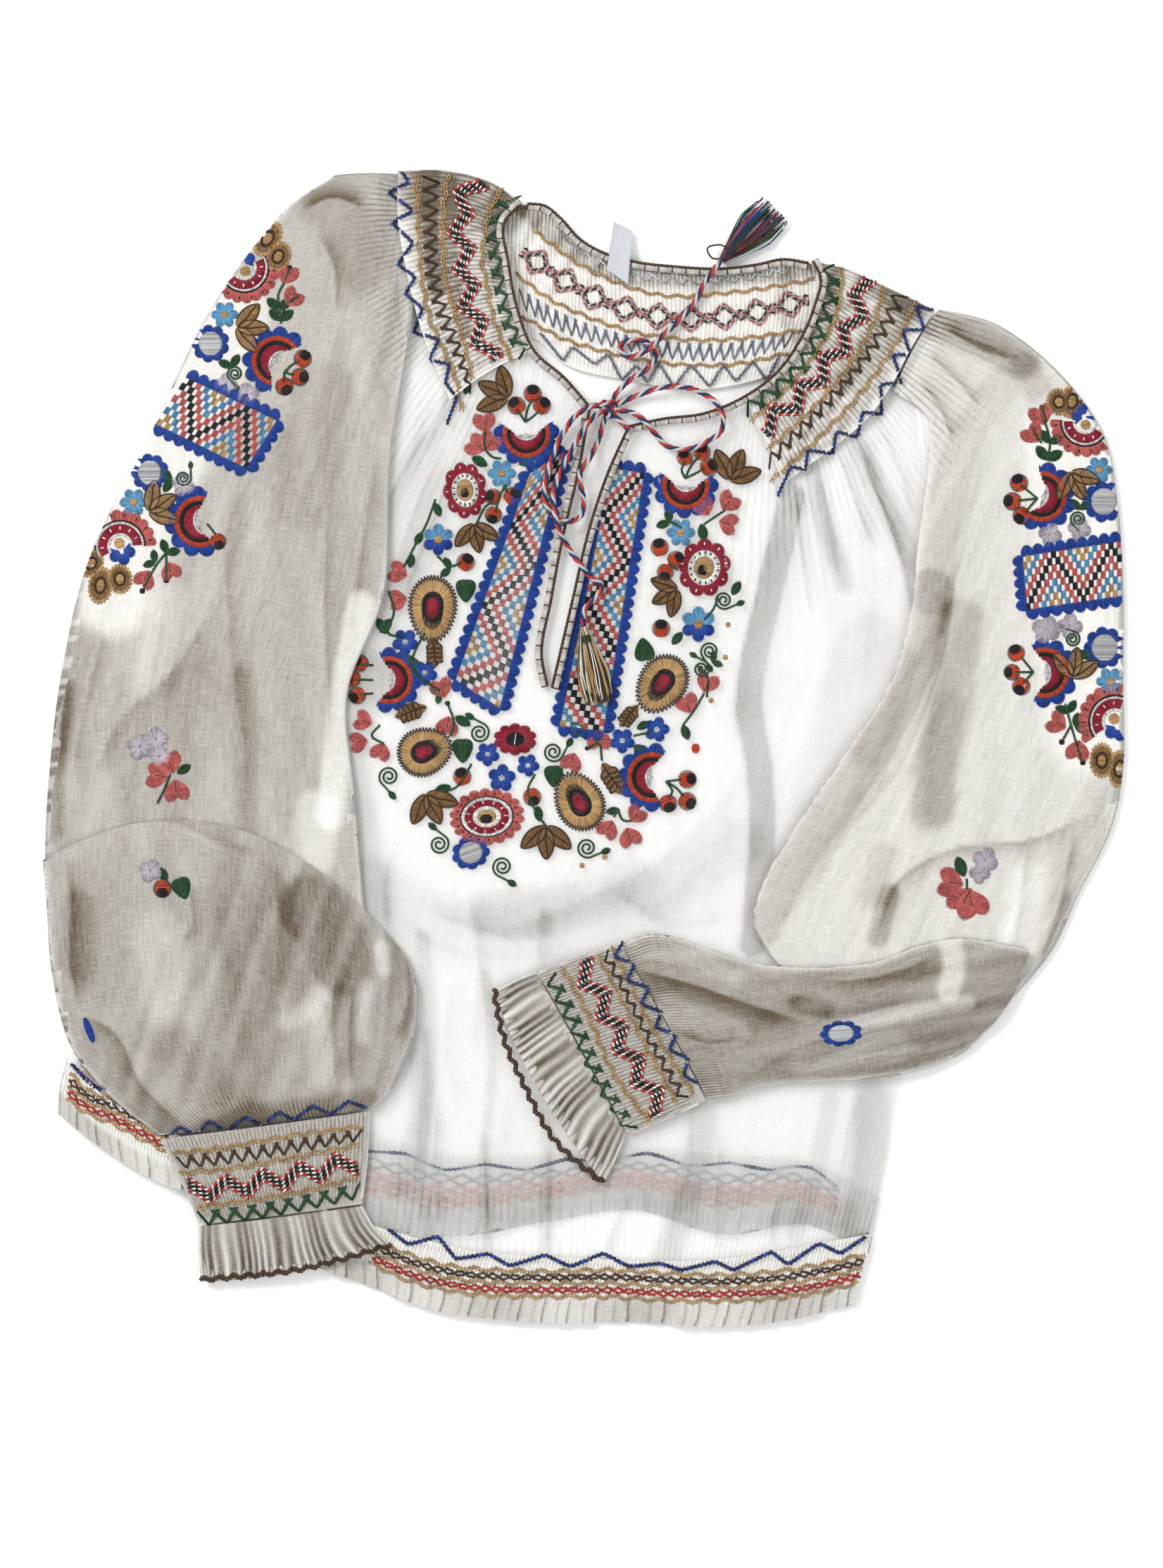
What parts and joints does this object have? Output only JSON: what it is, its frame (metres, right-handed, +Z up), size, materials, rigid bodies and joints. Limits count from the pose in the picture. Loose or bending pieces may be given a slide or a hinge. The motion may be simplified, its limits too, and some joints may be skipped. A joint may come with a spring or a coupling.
{
  "type": "embroidered folk blouse",
  "caption": "Sheer cotton peasant blouse laid flat, smocked at neck, cuffs and hem, with satin-stitch flowers and a tasselled drawstring.",
  "frame": {"origin": "centre of the blouse's outline, on the surface it lies on", "axes": "+X to the viewer's right, +Y from the hem to the neck, +Z up from the surface"},
  "size_m": [0.582, 0.623, 0.0179],
  "materials": {
    "cloth": "sheer plain-weave cotton voile, matt",
    "sleeve_cloth": "sheer plain-weave cotton voile, matt",
    "smocking": "gathered voile with coloured smocking stitches",
    "binding": "grey voile binding, brown blanket stitch",
    "cord": "twisted red, blue and white cotton cord",
    "tassel": "loose embroidery threads of several colours",
    "tag": "woven white tape, bare"
  },
  "bodies": {
    "root": {"back_panel": "cloth", "front_panel": "cloth", "hem_back": "smocking", "hem_front": "smocking", "yoke_back": "smocking", "yoke_left": "smocking", "yoke_right": "smocking", "sleeve_left": "sleeve_cloth", "sleeve_right": "sleeve_cloth", "forearm_left": "sleeve_cloth", "forearm_right": "sleeve_cloth", "cuff_left": "smocking", "cuff_right": "smocking", "ruffle_left": "smocking", "ruffle_right": "smocking", "binding_neck_back": "binding", "binding_neck_left": "binding", "binding_neck_right": "binding", "binding_slit_left": "binding", "binding_slit_right": "binding", "tag": "tag", "knot": "cord", "cord_right_run": "cord", "cord_right_loop": "cord", "cord_left_loop": "cord", "cord_lower_tail": "cord", "cord_upper_tail": "cord", "tassel_upper": "tassel", "tassel_lower": "tassel"}
  },
  "joints": []
}
